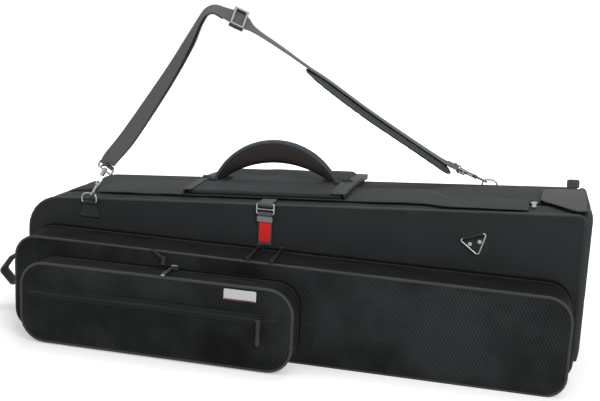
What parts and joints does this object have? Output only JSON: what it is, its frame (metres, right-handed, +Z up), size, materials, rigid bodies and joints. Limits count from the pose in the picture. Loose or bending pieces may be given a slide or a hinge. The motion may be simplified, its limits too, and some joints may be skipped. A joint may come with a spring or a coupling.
{
  "type": "soft trombone case",
  "caption": "Long tapered padded instrument case with a hinged cover, zipped front pockets, arched handle, closure clip and clip-on shoulder strap.",
  "frame": {"origin": "centre of the case body's flat base, on the surface it stands on", "axes": "+X along the case towards the taller bell end, -Y out of the front with the pockets, +Z up"},
  "size_m": [0.996, 0.3955, 0.5464],
  "materials": {
    "shell_fabric": "coarse woven slate-black nylon",
    "cover_fabric": "coarse woven slate-black nylon",
    "pocket_fabric": "woven black nylon",
    "ribbed_fabric": "slanting ribbed black fabric",
    "lining": "soft black plush over foam",
    "webbing": "flat woven webbing",
    "piping": "grey cord edging",
    "zip_tape": "tape with a coil of nylon teeth",
    "flap_fabric": "grey woven flap",
    "leather": "pebbled black leather",
    "grip_leather": "brown-black soft grip",
    "bumper": "matt rubbery edging",
    "steel": "bright nickel plate",
    "dark_metal": "black enamel",
    "buckle": "grey moulded plastic",
    "red_webbing": "red woven tab",
    "label": "pale bare woven label"
  },
  "bodies": {
    "case_body": {"tub_shell": "shell_fabric", "tub_lining": "lining", "tub_piping": "piping", "tub_zip_half": "zip_tape", "end_bumper_rear": "bumper", "hinge_strip": "webbing", "storm_flap": "flap_fabric", "handle_saddle": "flap_fabric", "saddle_patches": "leather", "tongue_patch": "leather", "end_loop": "webbing", "rear_anchor_plate": "leather", "rear_anchor_ring": "steel", "rear_swivel_eye": "steel", "strap_webbing": "webbing", "strap_adjuster": "buckle", "shoulder_pad": "pocket_fabric"},
    "front_cover": {"cover_shell": "cover_fabric", "cover_lining": "lining", "cover_piping": "piping", "cover_zip_half": "zip_tape", "end_bumper_front": "bumper", "grab_loop": "webbing", "clip_tab": "webbing", "left_anchor_plate": "leather", "left_anchor_ring": "steel", "right_anchor_plate": "leather", "anchor_rivets": "steel", "front_swivel_eye": "steel", "big_pocket_rim": "pocket_fabric"},
    "big_pocket": {"big_pocket_shell": "pocket_fabric", "big_pocket_piping": "piping", "small_pocket_rim": "pocket_fabric"},
    "small_pocket": {"small_pocket_shell": "ribbed_fabric", "small_pocket_piping": "piping", "front_zip": "zip_tape", "label_patch": "label"},
    "handle": {"handle_grip": "grip_leather", "handle_binding": "flap_fabric"},
    "pull_strap": {"clip_ring": "steel", "pull_webbing": "webbing", "clip_slide": "buckle", "red_pull_tab": "red_webbing"},
    "right_ring": {"right_anchor_ring": "steel"},
    "front_snap_hook": {"front_hook": "steel"},
    "front_gate": {"front_hook_gate": "steel"},
    "rear_snap_hook": {"rear_hook": "steel"},
    "rear_gate": {"rear_hook_gate": "steel"},
    "main_slider": {"main_slider": "steel"},
    "main_pull": {"main_pull": "steel"},
    "big_pocket_1_slider": {"big_pocket_1_slider": "dark_metal"},
    "big_pocket_1_pull": {"big_pocket_1_pull": "dark_metal"},
    "big_pocket_2_slider": {"big_pocket_2_slider": "dark_metal"},
    "big_pocket_2_pull": {"big_pocket_2_pull": "dark_metal"},
    "small_pocket_1_slider": {"small_pocket_1_slider": "steel"},
    "small_pocket_1_pull": {"small_pocket_1_pull": "steel"},
    "small_pocket_2_slider": {"small_pocket_2_slider": "dark_metal"},
    "small_pocket_2_pull": {"small_pocket_2_pull": "dark_metal"},
    "front_zip_slider": {"front_zip_slider": "dark_metal"},
    "front_zip_pull": {"front_zip_pull": "dark_metal"}
  },
  "joints": [
    {"name": "cover_open", "type": "hinge", "parent": "case_body", "child": "front_cover", "pos_m": [0, -0.06425, 0], "axis": [1, 0, 0], "range_deg": [0, 110], "deforming": ["strap_webbing", "strap_adjuster", "shoulder_pad", "hinge_strip"]},
    {"name": "big_pocket_open", "type": "hinge", "parent": "front_cover", "child": "big_pocket", "pos_m": [0, -0.132, 0], "axis": [1, 0, 0], "range_deg": [0, 75]},
    {"name": "small_pocket_open", "type": "hinge", "parent": "big_pocket", "child": "small_pocket", "pos_m": [0, -0.2046, 0.003], "axis": [1, 0, 0], "range_deg": [0, 75]},
    {"name": "handle_fold", "type": "hinge", "parent": "case_body", "child": "handle", "pos_m": [-0.06, 0, 0.25199], "axis": [0.9982, 0, 0.0601], "range_deg": [-45, 45]},
    {"name": "pull_strap_lift", "type": "hinge", "parent": "front_cover", "child": "pull_strap", "pos_m": [-0.041, -0.1262, 0.23553], "axis": [-1, 0, 0], "range_deg": [0, 150]},
    {"name": "right_ring_turn", "type": "hinge", "parent": "front_cover", "child": "right_ring", "pos_m": [0.2905, -0.1244, 0.2165], "axis": [-0.9455, 0, -0.3256], "range_deg": [0, 165]},
    {"name": "main_slide", "type": "slide", "parent": "case_body", "child": "main_slider", "axis": [0.9982, 0, 0.0601], "range_m": [-0.74, 0]},
    {"name": "main_pull_turn", "type": "hinge", "parent": "main_slider", "child": "main_pull", "pos_m": [0.37751, -0.064, 0.26545], "axis": [-0.9982, 0, -0.0601], "range_deg": [0, 85], "deforming": ["storm_flap"]},
    {"name": "big_pocket_1_slide", "type": "slide", "parent": "front_cover", "child": "big_pocket_1_slider", "axis": [1, 0, -0.0078], "range_m": [-0.35, 0.01]},
    {"name": "big_pocket_1_pull_turn", "type": "hinge", "parent": "big_pocket_1_slider", "child": "big_pocket_1_pull", "pos_m": [-0.04696, -0.132, 0.16845], "axis": [-1, 0, 0.0078], "range_deg": [0, 85]},
    {"name": "big_pocket_2_slide", "type": "slide", "parent": "front_cover", "child": "big_pocket_2_slider", "axis": [1, 0, -0.0078], "range_m": [-0.01, 0.4]},
    {"name": "big_pocket_2_pull_turn", "type": "hinge", "parent": "big_pocket_2_slider", "child": "big_pocket_2_pull", "pos_m": [-0.00796, -0.132, 0.16815], "axis": [-1, 0, 0.0078], "range_deg": [0, 85]},
    {"name": "small_pocket_1_slide", "type": "slide", "parent": "big_pocket", "child": "small_pocket_1_slider", "axis": [1, 0, 0], "range_m": [-0.003, 0.16]},
    {"name": "small_pocket_1_pull_turn", "type": "hinge", "parent": "small_pocket_1_slider", "child": "small_pocket_1_pull", "pos_m": [-0.164, -0.2046, 0.1393], "axis": [-1, 0, 0], "range_deg": [0, 85]},
    {"name": "small_pocket_2_slide", "type": "slide", "parent": "big_pocket", "child": "small_pocket_2_slider", "axis": [1, 0, 0], "range_m": [-0.175, 0.003]},
    {"name": "small_pocket_2_pull_turn", "type": "hinge", "parent": "small_pocket_2_slider", "child": "small_pocket_2_pull", "pos_m": [-0.184, -0.2046, 0.1393], "axis": [1, 0, 0], "range_deg": [0, 98]},
    {"name": "front_zip_slide", "type": "slide", "parent": "small_pocket", "child": "front_zip_slider", "axis": [1, 0, 0], "range_m": [-0.36, 0.015]},
    {"name": "front_zip_pull_turn", "type": "hinge", "parent": "front_zip_slider", "child": "front_zip_pull", "pos_m": [-0.008, -0.2613, 0.086], "axis": [-1, 0, 0], "range_deg": [0, 150]},
    {"name": "front_hook_swivel", "type": "hinge", "parent": "front_cover", "child": "front_snap_hook", "pos_m": [-0.32774, -0.11738, 0.2619], "axis": [-0.4125, -0.1609, -0.8966], "range_deg": [-12, 12]},
    {"name": "front_gate_open", "type": "hinge", "parent": "front_snap_hook", "child": "front_gate", "pos_m": [-0.33366, -0.12717, 0.24352], "axis": [0.8353, 0.3259, -0.4428], "range_deg": [0, 20], "stiffness_Nm_per_rad": 0.03, "springref_deg": -14.32},
    {"name": "rear_hook_swivel", "type": "hinge", "parent": "case_body", "child": "rear_snap_hook", "pos_m": [0.25433, 0.1097, 0.2777], "axis": [0.859, 0.3351, -0.387], "range_deg": [-12, 12]},
    {"name": "rear_gate_open", "type": "hinge", "parent": "rear_snap_hook", "child": "rear_gate", "pos_m": [0.27448, 0.11008, 0.26977], "axis": [0.3606, 0.1407, 0.9221], "range_deg": [0, 20], "stiffness_Nm_per_rad": 0.03, "springref_deg": -14.32}
  ]
}
